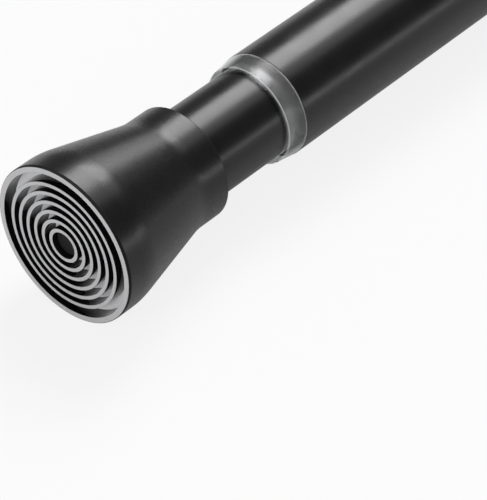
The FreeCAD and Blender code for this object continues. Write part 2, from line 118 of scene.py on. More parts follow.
class RodSizes(PropertyGroup):
    """Sizes of the turned pieces that their boxes in the frame don't give."""

    segments: IntProperty(
        name="Segments", description="Steps round the rod's axis", default=192, min=24,
    )
    tube_wall: size_value("Tube wall", 0.6, "Thickness of the outer tube's steel")
    tube_edge_round: size_value("Tube edge round", 0.1, "Rounding of the cut tube's edges")
    cap_skirt: size_value("Cap skirt", 5.87, "Straight part of the cap behind its mouth")
    cap_neck_wall: size_value("Cap neck wall", 2.34, "Wall of the cap's neck round the tube")
    cap_taper: FloatProperty(
        name="Cap taper", description="Slope of the flared cap's cone",
        default=math.radians(13.0), subtype="ANGLE",
    )
    cap_shoulder_round: size_value("Cap shoulder round", 17.0, "Bend from skirt to cone")
    cap_neck_round: size_value("Cap neck round", 13.0, "Bend from cone to neck")
    cap_rear_round: size_value("Cap rear round", 0.22, "Rounding of the neck's rear edge")
    cap_edge_round: size_value("Cap edge round", 0.03, "Rounding of the cap's small edges")
    cap_web: size_value("Cap web", 3.4, "Wall between the pad and the tube's socket")
    cap_boss_recess: size_value("Cap boss recess", 1.25, "How far the cap's boss stays behind the tread")
    cap_boss_gap: size_value("Cap boss gap", 0.08, "Gap between the boss and the pad's hole")
    socket_chamfer: size_value("Socket chamfer", 0.25, "Lead-in of the tube's socket")
    pad_plug_wall: size_value("Pad plug wall", 0.5, "Rubber between the last groove and the cap")
    pad_plug_draft: size_value("Pad plug draft", 0.2, "How far the pad's plug draws in")
    pad_edge_round: size_value("Pad edge round", 0.15, "Rounding of the pad's outer edge")
    tread_depth: size_value("Tread depth", 2.9, "Depth of the tread's grooves")
    tread_rim: size_value("Tread rim", 1.24, "Width of the tread's outer rim")
    tread_edge_round: size_value("Tread edge round", 0.05, "Rounding of the rings' edges")
    first_ring_radius: size_value("First ring radius", 3.15, "Middle of the smallest ring")
    ring_pitch: size_value("Ring pitch", 1.925, "From one ring to the next")
    ring_width: size_value("Ring width", 0.78, "Width of a ring's flat face")
    ring_count: IntProperty(name="Rings", description="Rings inside the rim", default=6, min=1)
    collar_gap: size_value("Collar gap", 0.08, "Running gap between collar and inner tube")
    collar_nose_wall: size_value("Collar nose wall", 0.86, "Wall of the collar at its nose")
    collar_step: size_value("Collar step", 0.05, "How far the collar stays inside the outer tube")
    collar_nose_round: size_value("Collar nose round", 0.35, "Rounding of the collar's nose")
    collar_back_round: size_value("Collar back round", 0.22, "Rounding of the collar's edge at the tube")
    collar_bore_round: size_value("Collar bore round", 0.2, "Lead-in of the collar's bore")
    collar_fit: size_value("Collar fit", 0.02, "Air between the collar's spigot and the tube")
    spring_wire: size_value("Spring wire", 1.8, "Diameter of the spring's wire")
    spring_turns: FloatProperty(
        name="Spring turns", description="Turns of the coil", default=10.0, min=1.0,
    )
    thread_pitch: size_value("Thread pitch", 2.5, "Rise of the lock screw's thread in a turn")
    thread_depth: size_value("Thread depth", 0.9, "Height of the lock screw's thread")
    thread_runout: size_value("Thread run-out", 12.5, "Plain end of the screw in its socket")
    clip_groove_depth: size_value("Clip groove depth", 0.8, "Depth of the clip's groove")
    screw_chamfer: size_value("Screw chamfer", 0.6, "Chamfer at the screw's tip")


class RodFinish(PropertyGroup):
    """Colours and gloss of the rod's finishes."""

    tube_black: colour_value("Tube black", (0.0042, 0.0042, 0.0045), "Coating on both tubes")
    cap_black: colour_value("Cap black", (0.0046, 0.0046, 0.0049), "Plastic of the flared caps")
    # Painted reflection: the flat faces' grey stands for the light that the black rubber's faces reflect
    tread_painted_reflection_grey: colour_value("Tread grey", (0.46, 0.46, 0.47), "Matt flat faces of the tread")
    # Painted light: the groove floors are paler than the faces to make up for the shade in the grooves
    groove_floor_painted_light_grey: colour_value(
        "Groove floor grey", (0.72, 0.72, 0.73), "Pale floors of the tread's grooves",
    )
    groove_black: colour_value("Groove black", (0.004, 0.004, 0.004), "Walls of the tread's grooves")
    clear_tint: colour_value("Clear tint", (0.86, 0.87, 0.88), "Clear plastic of the collar")
    # Painted shade: the grey lip of the bore stands for the dark gap between collar and inner tube
    lip_painted_shade_grey: colour_value("Lip grey", (0.25, 0.25, 0.26), "Dull lip of the collar's bore")
    spring_grey: colour_value("Spring grey", (0.40, 0.40, 0.41), "Oiled spring steel")
    zinc_grey: colour_value("Zinc grey", (0.60, 0.60, 0.59), "Plate on pins, washers and screw")
    nylon_white: colour_value("Nylon white", (0.70, 0.69, 0.64), "Plain nylon of the lock")
    ring_black: colour_value("Ring black", (0.018, 0.018, 0.018), "Rubber of the friction rings")
    tube_roughness: share_value("Tube roughness", 0.28, "Gloss of the coating")
    cap_roughness: share_value("Cap roughness", 0.28, "Gloss of the cap plastic")
    matt_roughness: share_value("Matt roughness", 0.8, "Dullness of the cap's boss and rear edge")
    face_roughness: share_value("Face roughness", 0.72, "Dullness of the tread's faces and edge")
    groove_roughness: share_value("Groove roughness", 0.02, "Gloss of the grooves' moulded walls")
    black_index: index_value("Black index", 1.36, "Refraction of the coating and the cap plastic")
    rubber_index: index_value("Rubber index", 1.5, "Refraction of the pad's rubber")
    clear_index: index_value("Clear index", 1.01, "Refraction of the clear collar's body")
    clear_coat_index: index_value("Clear coat index", 1.5, "Refraction of the clear collar's skin")
    nylon_index: index_value("Nylon index", 1.53, "Refraction of the lock's nylon")


class StageSettings(PropertyGroup):
    """Floor, light and camera."""

    floor_size: size_value("Floor size", 12000.0, "Side of the floor")
    floor_grey: share_value("Floor grey", 0.62, "Colour of the floor's matt surface")
    floor_glow: share_value("Floor glow", 0.85, "Share of plain white in the floor's look")
    floor_sheen: share_value("Floor sheen", 0.25, "Share of plain white in the floor's reflections")
    sky_zenith: share_value("Sky zenith", 0.17, "Brightness of the room overhead")
    sky_horizon: share_value("Sky horizon", 0.3, "Brightness of the room at eye level")
    sky_fall: share_value("Sky fall", 0.35, "Rise of a direction at which the room has turned dim")
    key_power: power_value("Key power", 92.0, "Overhead softbox")
    side_power: power_value("Side power", 9.0, "Softbox past the far end")
    soft_power: power_value("Soft power", 12.0, "Dim softbox beside the key")
    low_power: power_value("Low power", 6.5, "Softbox near the floor")
    fill_power: power_value("Fill power", 10.4, "Softbox before the tread")
    far_distance: size_value("Lamp distance", 3000.0, "From the seen middle of the rod to its softboxes")
    near_distance: size_value("Tread lamp distance", 1200.0, "From the tread to its softbox")
    seen_middle: size_value("Seen middle", 120.0, "From the inner wall face to the middle of what is seen")
    near_clip: size_value("Near clip", 10.0, "Nearest distance that the camera sees")
    lens: FloatProperty(
        name="Lens", description="Focal length", default=197.56, min=1.0, unit="CAMERA",
    )
    camera_offset: FloatVectorProperty(
        name="Camera offset", description="From the inner wall face's centre to the camera",
        default=(-0.2596, -0.2715, 0.3224), size=3, subtype="TRANSLATION",
    )
    camera_aim: FloatVectorProperty(
        name="Camera aim", description="Direction in which the camera looks",
        default=(0.56817, 0.49969, -0.65386), size=3, subtype="DIRECTION",
    )


def sizes():
    """The rod's sizes as the user has set them."""
    return bpy.context.scene.rod_sizes


def finishes():
    """The rod's colours and gloss as the user has set them."""
    return bpy.context.scene.rod_finish


def stage_settings():
    """Floor, light and camera as the user has set them."""
    return bpy.context.scene.rod_stage


# Turned surfaces


def rounded_profile(corners, steps=ROUND_STEPS, closed=True):
    """Round every corner of an outline of (along, radius, round) rows.

    Each corner gives way to an arc that is tangent to its two sides: the arc's centre lies on
    the corner's bisector at round / sin(half angle), and its points turn evenly from one tangent
    point to the other. Returns the points and their outward normals, which lie to the left of
    the way the outline runs. The ends of an open outline stay as they are.
    """
    rows = np.asarray(corners, float)
    points, rounds = rows[:, :2], rows[:, 2:]
    to_last = np.roll(points, 1, axis=0) - points
    to_next = np.roll(points, -1, axis=0) - points
    to_last /= np.linalg.norm(to_last, axis=1, keepdims=True)
    to_next /= np.linalg.norm(to_next, axis=1, keepdims=True)
    half = np.arccos(np.clip((to_last * to_next).sum(1, keepdims=True), -1, 1)) / 2
    bisector = to_last + to_next
    bisector /= np.linalg.norm(bisector, axis=1, keepdims=True)
    centre = points + bisector * rounds / np.sin(half)
    first = (points + to_last * rounds / np.tan(half) - centre) / rounds
    last = (points + to_next * rounds / np.tan(half) - centre) / rounds
    turn = math.pi - 2 * half
    share = np.linspace(0.0, 1.0, steps)[None, :, None]
    spokes = np.sin((1 - share) * turn[:, :, None]) * first[:, None, :]
    spokes = (spokes + np.sin(share * turn[:, :, None]) * last[:, None, :]) / np.sin(turn[:, :, None])
    arcs = centre[:, None, :] + rounds[:, None, :] * spokes
    left_of_side = np.stack([to_last[:, 1], -to_last[:, 0]], axis=1)
    outward = np.sign((first * left_of_side).sum(1))[:, None, None]
    normals = spokes * outward
    if closed:
        return arcs.reshape(-1, 2), normals.reshape(-1, 2)
    ends = points[[0, -1]]
    end_normals = np.array([normals[1, 0], normals[-2, -1]])
    inner_points, inner_normals = arcs[1:-1].reshape(-1, 2), normals[1:-1].reshape(-1, 2)
    return (
        np.concatenate([ends[:1], inner_points, ends[1:]]),
        np.concatenate([end_normals[:1], inner_normals, end_normals[1:]]),
    )


def facing_back(points, normals):
    """The same outline, turned end for end about the plane along = 0."""
    flip = np.array([-1.0, 1.0])
    return points[::-1] * flip, normals[::-1] * flip


def ring_faces(rows, columns, wrap_rows):
    """Quads between neighbouring rows and columns of a grid, closed round its columns."""
    row = np.arange(rows if wrap_rows else rows - 1)[:, None]
    column = np.arange(columns)[None, :]
    after, beside = (row + 1) % rows, (column + 1) % columns
    corners = (row * columns + column, row * columns + beside,
               after * columns + beside, after * columns + column)
    return np.stack(corners, axis=-1).reshape(-1, 4)


def spun(values, angles):
    """Turn (along, radius) rows about X: (along, radius cos angle, radius sin angle)."""
    along = np.repeat(values[:, :1], len(angles), axis=1)
    return np.stack(
        [along, values[:, 1:] * np.cos(angles), values[:, 1:] * np.sin(angles)], axis=-1
    ).reshape(-1, 3)


def turned_piece(name, points, normals, shift, closed=True):
    """A mesh swept round the rod: every point of the outline follows a circle about X.

    A closed outline gives a ring. An open one starts and ends on the axis, where each end
    becomes one pole with a fan of triangles.
    """
    segments = sizes().segments
    angles = np.linspace(0.0, 2 * math.pi, segments, endpoint=False)
    if closed:
        vertices, vertex_normals = spun(points, angles), spun(normals, angles)
        faces = ring_faces(len(points), segments, wrap_rows=True).tolist()
    else:
        vertices, vertex_normals = spun(points[1:-1], angles), spun(normals[1:-1], angles)
        faces = ring_faces(len(points) - 2, segments, wrap_rows=False).tolist()
        poles = np.zeros((2, 3))
        poles[:, 0] = points[[0, -1], 0]
        pole_normals = np.zeros((2, 3))
        pole_normals[:, 0] = np.sign(normals[[0, -1], 0])
        count = len(vertices)
        ring = np.arange(segments)
        beside = (ring + 1) % segments
        last_row = count - segments
        front = np.stack([np.full(segments, count), beside, ring], axis=1)
        back = np.stack([np.full(segments, count + 1), last_row + ring, last_row + beside], axis=1)
        faces += front.tolist() + back.tolist()
        vertices = np.concatenate([vertices, poles])
        vertex_normals = np.concatenate([vertex_normals, pole_normals])
    vertices[:, 0] += shift
    return mesh_piece(name, vertices, faces, vertex_normals)


def mesh_piece(name, vertices, faces, vertex_normals=None):
    """Put whole arrays into a new smooth-shaded object at the origin."""
    mesh = bpy.data.meshes.new(name)
    mesh.from_pydata(vertices.tolist(), [], faces)
    mesh.validate()
    mesh.shade_smooth()
    if vertex_normals is not None:
        mesh.normals_split_custom_set_from_vertices(vertex_normals.tolist())
    piece = bpy.data.objects.new(name, mesh)
    bpy.context.scene.collection.objects.link(piece)
    return piece


def mark_points(piece, marks, closed=True):
    """Keep values given for the outline's points on every point of the turned piece.

    Each value goes round its circle, and an open outline's two ends are the poles, which come last.
    """
    for name, values in marks.items():
        rings, poles = (values, []) if closed else (values[1:-1], values[[0, -1]])
        round_the_rod = np.concatenate([np.repeat(rings, sizes().segments), poles])
        layer = piece.data.attributes.new(name, "FLOAT", "POINT")
        layer.data.foreach_set("value", round_the_rod.astype(np.float32))


def stand_for(piece, node, body, material):
    """Let a finished piece take a node's place, ride with its body and wear a finish."""
    piece.data.materials.clear()
    piece.data.materials.append(material)
    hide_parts(node)
    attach(piece, body)


def dress_node(node, material):
    """Give a node of the frame a finish."""
    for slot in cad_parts[node].material_slots:
        slot.material = material


def node_reach(node):
    """Where a node starts and ends along the rod, and its radius."""
    low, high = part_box(node)
    return low.x, high.x, high.z


# Finishes


class Finish:
    """A principled material whose patterns lie on Object coordinates."""

    # Places of the colour sockets on a mix node, which has others of the same names
    FIRST_COLOUR, SECOND_COLOUR, MIXED_COLOUR = 6, 7, 2

    def __init__(self, name):
        self.material = bpy.data.materials.new(name)
        self.material.use_nodes = True
        self.nodes = self.material.node_tree.nodes
        self.links = self.material.node_tree.links
        self.shader = self.nodes["Principled BSDF"]
        self.place = self.nodes.new("ShaderNodeTexCoord").outputs["Object"]

    def set(self, **sockets):
        """Set constants on the shader's own sockets."""
        for name, value in sockets.items():
            self.shader.inputs[name.replace("_", " ")].default_value = value

    def stretched(self, along):
        """Object coordinates with the rod's length scaled, for drawn or turned streaks."""
        mapping = self.nodes.new("ShaderNodeMapping")
        mapping.inputs["Scale"].default_value = (along, 1.0, 1.0)
        self.links.new(self.place, mapping.inputs["Vector"])
        return mapping.outputs["Vector"]

    def noise(self, grain, detail=2.0, place=None):
        """Noise whose spots are about one grain across, in metres."""
        texture = self.nodes.new("ShaderNodeTexNoise")
        texture.inputs["Scale"].default_value = 1.0 / grain
        texture.inputs["Detail"].default_value = detail
        self.links.new(place or self.place, texture.inputs["Vector"])
        return texture.outputs["Fac"]

    def spread(self, factor, low, high, start=0.3, end=0.7):
        """Map a factor between start and end to a range from low to high."""
        node = self.nodes.new("ShaderNodeMapRange")
        node.inputs["From Min"].default_value = start
        node.inputs["From Max"].default_value = end
        node.inputs["To Min"].default_value = low
        node.inputs["To Max"].default_value = high
        self.links.new(factor, node.inputs["Value"])
        return node.outputs["Result"]

    def mix(self, factor, first, second):
        """Mix two colours, each a plain colour or another node's output."""
        node = self.nodes.new("ShaderNodeMix")
        node.data_type = "RGBA"
        self.links.new(factor, node.inputs["Factor"])
        for place, colour in ((self.FIRST_COLOUR, first), (self.SECOND_COLOUR, second)):
            socket = node.inputs[place]
            if isinstance(colour, bpy.types.NodeSocket):
                self.links.new(colour, socket)
            else:
                socket.default_value = (*colour, 1.0)
        return node.outputs[self.MIXED_COLOUR]

    def joined(self, operation, first, second):
        """Two values joined by one step of arithmetic, such as MAXIMUM or MULTIPLY."""
        node = self.nodes.new("ShaderNodeMath")
        node.operation = operation
        self.links.new(first, node.inputs[0])
        self.links.new(second, node.inputs[1])
        return node.outputs[0]

    def facing(self):
        """How far the surface turns away from the eye, from nothing to one at its outline."""
        return self.nodes.new("ShaderNodeLayerWeight").outputs["Facing"]

    def attribute(self, name):
        """A value that the piece carries on its points."""
        node = self.nodes.new("ShaderNodeAttribute")
        node.attribute_name = name
        return node.outputs["Fac"]

    def feed(self, socket, output):
        """Link an output to one of the shader's sockets."""
        self.links.new(output, self.shader.inputs[socket])

    def bump(self, height, depth, strength):
        """Raise the surface by a height of some depth, in metres, with a plain or mapped strength."""
        node = self.nodes.new("ShaderNodeBump")
        node.inputs["Distance"].default_value = depth
        if isinstance(strength, bpy.types.NodeSocket):
            self.links.new(strength, node.inputs["Strength"])
        else:
            node.inputs["Strength"].default_value = strength
        self.links.new(height, node.inputs["Height"])
        self.feed("Normal", node.outputs["Normal"])


def lighter(colour, times):
    """A colour some times as bright, or darker where times is under one."""
    return tuple(min(1.0, value * times) for value in colour)


def tube_coating():
    """Black semi-gloss coat: fine orange peel, faint drift in gloss, bare steel on a cut end."""
    coat = Finish("tube_coating")
    black = tuple(finishes().tube_black)
    gloss = finishes().tube_roughness
    drift = coat.noise(grain=14 * MM, detail=3.0)
    peel = coat.noise(grain=0.9 * MM)
    bare = coat.attribute("cut_end")
    painted = coat.mix(drift, black, lighter(black, times=1.5))
    coat.feed("Base Color", coat.mix(bare, painted, tuple(finishes().zinc_grey)))
    coat.feed("Metallic", bare)
    coat.feed("Roughness", coat.spread(coat.noise(grain=6 * MM), low=gloss - 0.02, high=gloss + 0.03))
    coat.bump(peel, depth=0.0015 * MM, strength=0.6)
    coat.set(IOR=finishes().black_index)
    return coat.material


def cap_plastic():
    """Black satin plastic with the fine grain of an eroded mould, matt on its boss and rear edge."""
    plastic = Finish("cap_plastic")
    black = tuple(finishes().cap_black)
    gloss = finishes().cap_roughness
    drift = plastic.noise(grain=9 * MM, detail=3.0)
    plastic.feed("Base Color", plastic.mix(drift, black, lighter(black, times=1.6)))
    gloss_drift = plastic.noise(grain=1.5 * MM, detail=3.0)
    satin = plastic.spread(gloss_drift, low=gloss - 0.015, high=gloss + 0.02)
    plastic.feed("Roughness", plastic.joined("MAXIMUM", satin, plastic.attribute("matt_places")))
    plastic.bump(plastic.noise(grain=0.2 * MM), depth=0.0003 * MM, strength=0.35)
    plastic.set(IOR=finishes().black_index)
    return plastic.material


def pad_rubber():
    """Black rubber tread: flat faces painted matt grey as a painted reflection, glossy black groove walls,
    and groove floors painted paler still as painted light against the shade in the grooves.
    """
    rubber = Finish("pad_rubber")
    grey, black = tuple(finishes().tread_painted_reflection_grey), tuple(finishes().groove_black)
    speckle = rubber.spread(rubber.noise(grain=0.25 * MM, detail=3.0), low=0.0, high=1.0)
    cloud = rubber.spread(rubber.noise(grain=5 * MM), low=0.0, high=0.5)
    # Painted reflection: the tread grey, with random speckle and cloud, stands for the light that the
    # black rubber's flat faces reflect
    speckled_painted_reflection = rubber.mix(speckle, lighter(grey, times=0.93), lighter(grey, times=1.06))
    speckled_painted_reflection = rubber.mix(cloud, speckled_painted_reflection, lighter(grey, times=0.94))
    flat, floor = rubber.attribute("tread_face_painted_reflection"), rubber.attribute("groove_floor")
    # Painted light: the groove floors get a paler grey than the faces, to make up for the shade in the
    # grooves
    sunk = rubber.mix(floor, black, tuple(finishes().groove_floor_painted_light_grey))
    rubber.feed("Base Color", rubber.mix(flat, sunk, speckled_painted_reflection))
    dull = rubber.attribute("dullness")
    rubber.feed("Roughness", dull)
    wall_to_face = {"start": finishes().groove_roughness, "end": finishes().face_roughness}
    rubber.feed("Specular IOR Level", rubber.spread(dull, low=0.4, high=0.15, **wall_to_face))
    grit = rubber.spread(dull, low=0.03, high=0.5, **wall_to_face)
    rubber.bump(speckle, depth=0.008 * MM, strength=grit)
    rubber.set(IOR=finishes().rubber_index)
    return rubber.material


def clear_plastic():
    """Clear plastic with faint flow marks, made cloudy on its outer edges as a painted highlight and
    towards its outline as a painted sheen.

    The lip of its bore is painted grey as painted shade and has no glossy skin.
    """
    clear = Finish("clear_plastic")
    flow = clear.noise(grain=2.2 * MM, detail=3.0, place=clear.stretched(0.4))
    clear.feed("Roughness", clear.spread(flow, low=0.16, high=0.22))
    clear.bump(flow, depth=0.0015 * MM, strength=0.3)
    # Painted sheen: the outer skin turns cloudy towards the outline, so that the whitish tint shows there
    outline_painted_sheen = clear.spread(clear.facing(), low=0.0, high=0.8, start=0.6, end=0.85)
    outline_painted_sheen = clear.joined("MULTIPLY", outline_painted_sheen, clear.attribute("outer_skin"))
    # Painted highlight: the marked outer edges turn cloudy too, as bright lines
    cloud = clear.joined("MAXIMUM", clear.attribute("edge_painted_highlight"), outline_painted_sheen)
    clear.feed("Transmission Weight", clear.spread(cloud, low=0.94, high=0.3, start=0.0, end=1.0))
    # Painted shade: the lip of the bore turns grey and loses its glossy skin
    lip = clear.attribute("bore_lip_painted_shade")
    clear.feed("Base Color", clear.mix(lip, tuple(finishes().clear_tint), tuple(finishes().lip_painted_shade_grey)))
    clear.feed("Coat Weight", clear.spread(lip, low=0.7, high=0.0, start=0.0, end=1.0))
    clear.set(IOR=finishes().clear_index, Coat_Roughness=0.3, Coat_IOR=finishes().clear_coat_index)
    return clear.material


def metal(name, colour, gloss, streak):
    """Bare or plated steel with streaks left by drawing or turning."""
    steel = Finish(name)
    lines = steel.noise(grain=0.3 * MM, detail=3.0, place=steel.stretched(streak))
    stain = steel.noise(grain=4 * MM, detail=3.0)
    steel.feed("Base Color", steel.mix(stain, lighter(colour, times=0.8), lighter(colour, times=1.15)))
    steel.feed("Roughness", steel.spread(lines, low=gloss - 0.07, high=gloss + 0.1))
    steel.bump(lines, depth=0.004 * MM, strength=0.5)
    steel.set(Metallic=1.0)
    return steel.material


def lock_plastic():
    """Plain nylon, a little cloudy."""
    nylon = Finish("lock_plastic")
    white = tuple(finishes().nylon_white)
    cloud = nylon.noise(grain=4 * MM, detail=3.0)
    nylon.feed("Base Color", nylon.mix(cloud, lighter(white, times=0.92), white))
    nylon.feed("Roughness", nylon.spread(nylon.noise(grain=0.6 * MM, detail=3.0), low=0.4, high=0.52))
    nylon.bump(nylon.noise(grain=0.2 * MM), depth=0.004 * MM, strength=0.5)
    nylon.set(
        Subsurface_Weight=0.1,
        Subsurface_Radius=(1.0 * MM, 1.0 * MM, 0.8 * MM),
        IOR=finishes().nylon_index,
    )
    return nylon.material


def ring_rubber():
    """Black rubber with a dull bloom."""
    rubber = Finish("ring_rubber")
    black = tuple(finishes().ring_black)
    bloom = rubber.noise(grain=1.5 * MM, detail=3.0)
    rubber.feed("Base Color", rubber.mix(bloom, black, lighter(black, times=1.8)))
    rubber.feed("Roughness", rubber.spread(rubber.noise(grain=0.4 * MM, detail=3.0), low=0.5, high=0.68))
    rubber.bump(rubber.noise(grain=0.15 * MM), depth=0.004 * MM, strength=0.5)
    return rubber.material


# Outlines of the turned pieces, as (along, radius, round) rows that keep the material on the right


def tube_outline(length, outside, inside):
    """Plain tube: outer skin, far end, bore and near end."""
    edge = sizes().tube_edge_round
    return [(0, outside, edge), (length, outside, edge), (length, inside, edge), (0, inside, edge)]


def cap_outline(cap_node, pad_node, tube_node):
    """Flared cap from its boss on the axis, round the mouth, skirt, cone and neck, to the socket."""
    s = sizes()
    pad_start, pad_end, pad_radius = node_reach(pad_node)
    cap_start, cap_end, cap_radius = node_reach(cap_node)
    tube_radius = node_reach(tube_node)[2]
    face_side = min(abs(cap_start - pad_start), abs(cap_end - pad_end))
    pad_depth = pad_end - pad_start
    cap_length = face_side + cap_end - cap_start
    socket = pad_depth + s.cap_web
    neck = tube_radius + s.cap_neck_wall
    cone_end = s.cap_skirt + (cap_radius - neck) / math.tan(s.cap_taper)
    plug = pad_radius - s.tread_rim + s.pad_plug_wall
    boss = s.first_ring_radius - s.ring_width / 2 - s.cap_boss_gap
    edge = s.cap_edge_round
    return [
        (s.cap_boss_recess, 0, edge),
        (s.cap_boss_recess, boss, edge),
        (pad_depth, boss, edge),
        (pad_depth, plug - s.pad_plug_draft, edge),
        (face_side, plug, edge),
        (face_side, cap_radius, edge),
        (s.cap_skirt, cap_radius, s.cap_shoulder_round),
        (cone_end, neck, s.cap_neck_round),
        (cap_length, neck, s.cap_rear_round),
        (cap_length, tube_radius + s.socket_chamfer, edge),
        (cap_length - s.socket_chamfer, tube_radius, edge),
        (socket, tube_radius, edge),
        (socket, 0, edge),
    ]


def pad_outline(pad_node, cap_node):
    """Grip pad: flange, drafted plug, back, centre hole, then rings and grooves out to the rim."""
    s = sizes()
    start, end, radius = node_reach(pad_node)
    cap_start, cap_end, _ = node_reach(cap_node)
    flange = min(abs(cap_start - start), abs(cap_end - end))
    depth = end - start
    plug = radius - s.tread_rim + s.pad_plug_wall
    edge = s.tread_edge_round
    hole = s.first_ring_radius - s.ring_width / 2
    inside = s.first_ring_radius + s.ring_width / 2 + s.ring_pitch * np.arange(s.ring_count)
    outside = np.append(inside[1:] - s.ring_width, radius - s.tread_rim)
    walls = np.stack([inside, inside, outside, outside], axis=1).reshape(-1)
    depths = np.tile([0.0, s.tread_depth, s.tread_depth, 0.0], s.ring_count)
    grooves = np.stack([depths, walls, np.full(len(walls), edge)], axis=1)
    return [
        (0, radius, s.pad_edge_round),
        (flange, radius, s.cap_edge_round),
        (flange, plug, s.cap_edge_round),
        (depth, plug - s.pad_plug_draft, s.pad_edge_round),
        (depth, hole, edge),
        (0, hole, edge),
        *map(tuple, grooves),
    ]


def collar_outline():
    """Clear collar: round nose, straight taper to the tube's mouth, then a spigot inside the tube."""
    s = sizes()
    start, end, _ = node_reach("clear_collar")
    tube_start, _, tube_radius = node_reach("outer_tube")
    bore = node_reach("inner_tube")[2] + s.collar_gap
    spigot = tube_radius - s.tube_wall - s.collar_fit
    flange, length = tube_start - start, end - start
    edge = s.cap_edge_round
    return [
        (0, bore + s.collar_nose_wall, s.collar_nose_round),
        (flange, tube_radius - s.collar_step, s.collar_back_round),
        (flange, spigot, edge),
        (length, spigot, edge),
        (length, bore, edge),
        (0, bore, s.collar_bore_round),
    ]


# Operators, one for each group of pieces


class ROD_OT_tubes(Operator):
    """Turn the outer tube and coat both tubes"""

    bl_idname = "rod.tubes"
    bl_label = "Tubes"

    def execute(self, context):
        coat = tube_coating()
        start, end, radius = node_reach("outer_tube")
        outline = tube_outline(end - start, radius, radius - sizes().tube_wall)
        points, normals = rounded_profile(outline)
        tube = turned_piece("outer_tube_turned", points, normals, start)
        square_from = 0.95
        cut = np.abs(normals[:, 0]) > square_from
        mark_points(tube, {"cut_end": cut.astype(float)})
        stand_for(tube, "outer_tube", "outer", coat)
        dress_node("inner_tube", coat)
        return {"FINISHED"}


class ROD_OT_end_caps(Operator):
    """Turn the two flared caps"""

    bl_idname = "rod.end_caps"
    bl_label = "Flared caps"

    def execute(self, context):
        plastic = cap_plastic()
        for end in ("inner", "outer"):
            cap, pad, tube = end + "_end_cap", end + "_grip_pad", end + "_tube"
            points, normals = rounded_profile(cap_outline(cap, pad, tube), FINE_ROUND_STEPS, closed=False)
            matt = finishes().matt_roughness * self.matt_places(points, normals)
            face = node_reach(pad)[0]
            if end == "outer":
                points, normals = facing_back(points, normals)
                matt = matt[::-1]
                face = node_reach(pad)[1]
            piece = turned_piece(cap + "_moulded", points, normals, face, closed=False)
            mark_points(piece, {"matt_places": matt}, closed=False)
            stand_for(piece, cap, end, plastic)
        return {"FINISHED"}

    def matt_places(self, points, normals):
        """One on the boss's end and on the round of the rear edge, and nothing elsewhere."""
        s = sizes()
        along, radius = points[:, 0], points[:, 1]
        on_boss = (along < s.cap_boss_recess + s.cap_edge_round) & (radius <= s.first_ring_radius)
        at_rear = along > along.max() - s.cap_rear_round
        least_turn = 0.1
        turned_back = (normals[:, 0] > least_turn) & (normals[:, 1] > 0)
        return (on_boss | at_rear & turned_back).astype(float)


class ROD_OT_grip_pads(Operator):
    """Mould the two ring tread pads"""

    bl_idname = "rod.grip_pads"
    bl_label = "Grip pads"

    def execute(self, context):
        rubber = pad_rubber()
        for end in ("inner", "outer"):
            pad = end + "_grip_pad"
            points, normals = rounded_profile(pad_outline(pad, end + "_end_cap"))
            face = node_reach(pad)[0]
            marks = self.tread_marks(points, normals)
            if end == "outer":
                points, normals = facing_back(points, normals)
                face = node_reach(pad)[1]
                marks = {name: values[::-1] for name, values in marks.items()}
            piece = turned_piece(pad + "_moulded", points, normals, face)
            mark_points(piece, marks)
            stand_for(piece, pad, end, rubber)
        return {"FINISHED"}

    def tread_marks(self, points, normals):
        """Where the tread's faces and its grooves' floors lie, which take the painted reflection and the
        painted light, and how dull each place is.

        A surface is square by (share of its normal along the rod - least share) / (1 - least share),
        held between nothing and one. The least share is higher on the pad's outer edge, so that the
        grey ends sharply there.
        """
        s = sizes()
        along, radius = points[:, 0], points[:, 1]
        edge_margin, edge_least, ring_least = 1.1, 0.96, 0.75
        on_edge = radius > radius.max() - s.pad_edge_round * edge_margin
        least = np.where(on_edge, edge_least, ring_least)
        square = np.clip((-normals[:, 0] - least) / (1.0 - least), 0.0, 1.0)
        sunk = along > s.tread_depth / 2
        in_tread = radius < radius.max() - s.tread_rim / 2
        wall = np.where(in_tread, finishes().groove_roughness, finishes().face_roughness)
        return {
            # The faces' marks place the painted reflection, the floors' marks the paler painted light
            "tread_face_painted_reflection": np.where(sunk, 0.0, square),
            "groove_floor": np.where(sunk, square, 0.0),
            "dullness": wall + (finishes().face_roughness - wall) * square,
        }


class ROD_OT_clear_collar(Operator):
    """Mould the clear guide collar"""

    bl_idname = "rod.clear_collar"
    bl_label = "Clear collar"

    def execute(self, context):
        start = node_reach("clear_collar")[0]
        points, normals = rounded_profile(collar_outline(), FINE_ROUND_STEPS)
        collar = turned_piece("clear_collar_moulded", points, normals, start)
        mark_points(collar, self.collar_marks(normals))
        stand_for(collar, "clear_collar", "outer", clear_plastic())
        return {"FINISHED"}

    def collar_marks(self, normals):
        """Outer edges made cloudy as a painted highlight, outer skin and the lip of the bore, which
        carries painted shade, told apart by their normals.

        The edge at the tube is cloudier than the nose and reaches further round its bend.
        """
        along, outward = normals[:, 0], normals[:, 1]
        at_nose = along < 0
        edge_from, edge_to = 0.2, np.where(at_nose, 0.75, 0.97)
        edge_highlight_share = np.where(at_nose, 0.6, 1.0)
        on_edge = (np.abs(along) > edge_from) & (np.abs(along) < edge_to) & (outward > 0)
        skin_from, lip_along, lip_outward = 0.2, -0.05, 0.01
        on_shaded_lip = (along < lip_along) & (outward < lip_outward)
        return {
            "edge_painted_highlight": np.where(on_edge, edge_highlight_share, 0.0),
            "outer_skin": (outward > skin_from).astype(float),
            "bore_lip_painted_shade": on_shaded_lip.astype(float),
        }


